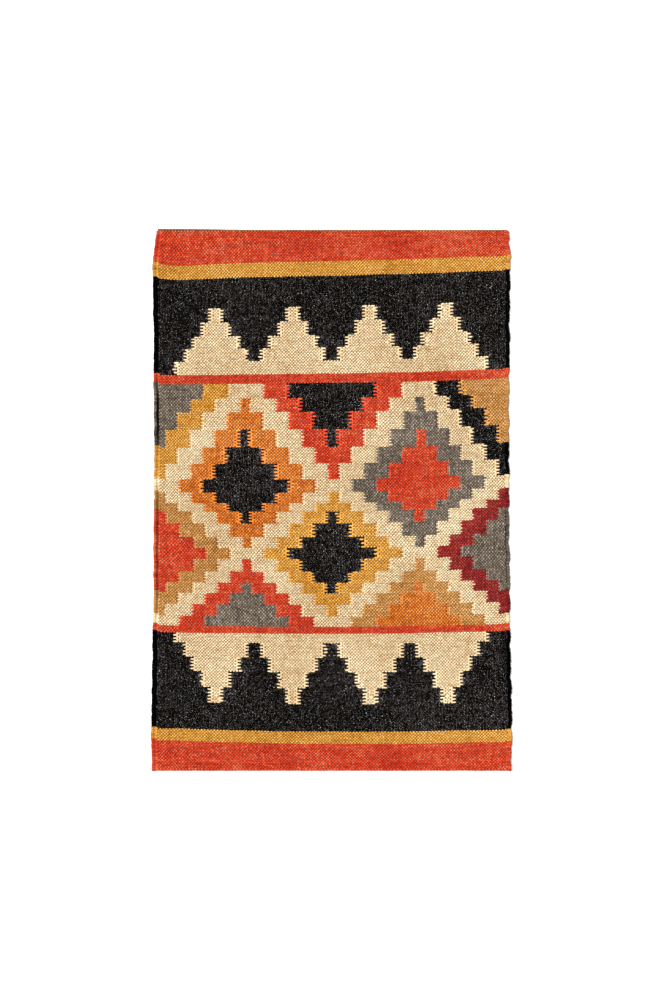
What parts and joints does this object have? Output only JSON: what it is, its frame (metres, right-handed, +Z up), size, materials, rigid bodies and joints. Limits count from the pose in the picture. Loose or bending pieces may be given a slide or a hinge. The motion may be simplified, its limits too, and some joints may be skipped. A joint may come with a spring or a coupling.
{
  "type": "area rug",
  "caption": "Flat-woven rectangular kilim with turned-under ends, stepped peaks in two black bands and a field of stepped diamonds.",
  "frame": {"origin": "on the floor under the middle of the rug", "axes": "+X across the rug along the weft, +Y along the rug's length along the warp, +Z up out of the floor"},
  "size_m": [0.604, 0.914, 0.0064],
  "materials": {
    "red_wool": "matt hand-spun wool weft, heathered",
    "mustard_wool": "matt hand-spun wool weft, heathered",
    "black_wool": "matt hand-spun wool weft, jute warp showing as light specks",
    "cream_wool": "undyed matt wool weft with tan and pinkish streaks",
    "grey_wool": "matt wool weft of mixed dark and light fibre",
    "orange_wool": "matt hand-spun wool weft, heathered",
    "tan_wool": "matt hand-spun wool weft, heathered",
    "maroon_wool": "matt hand-spun wool weft, heathered",
    "jute_yarn": "coarse natural jute yarn",
    "sewing_thread": "matt cotton thread"
  },
  "bodies": {
    "root": {"hem_top": "jute_yarn", "hem_bottom": "jute_yarn", "hem_stitches_top": "sewing_thread", "hem_stitches_bottom": "sewing_thread", "end_band_top": "red_wool", "end_band_bottom": "red_wool", "mustard_stripe_top": "mustard_wool", "mustard_stripe_bottom": "mustard_wool", "black_ground_top": "black_wool", "black_ground_bottom": "black_wool", "cream_peaks_top": "cream_wool", "cream_peaks_bottom": "cream_wool", "red_stripe_top": "red_wool", "red_stripe_bottom": "red_wool", "cream_lattice": "cream_wool", "orange_diamond": "orange_wool", "orange_diamond_centre": "black_wool", "grey_diamond": "grey_wool", "grey_diamond_centre": "red_wool", "mustard_diamond": "mustard_wool", "mustard_diamond_centre": "black_wool", "red_half_diamond_top": "red_wool", "red_half_diamond_top_centre": "black_wool", "mustard_corner_diamond": "mustard_wool", "mustard_corner_diamond_centre": "grey_wool", "black_corner_diamond": "black_wool", "black_corner_diamond_centre": "tan_wool", "tan_side_diamond": "tan_wool", "tan_side_diamond_centre": "red_wool", "maroon_side_diamond": "maroon_wool", "maroon_side_diamond_centre": "grey_wool", "red_half_diamond_bottom": "red_wool", "red_half_diamond_bottom_centre": "grey_wool", "tan_half_diamond_bottom": "tan_wool", "tan_half_diamond_bottom_centre": "orange_wool", "warp_threads": "jute_yarn", "edge_cord_left": "jute_yarn", "edge_cord_right": "jute_yarn"}
  },
  "joints": []
}
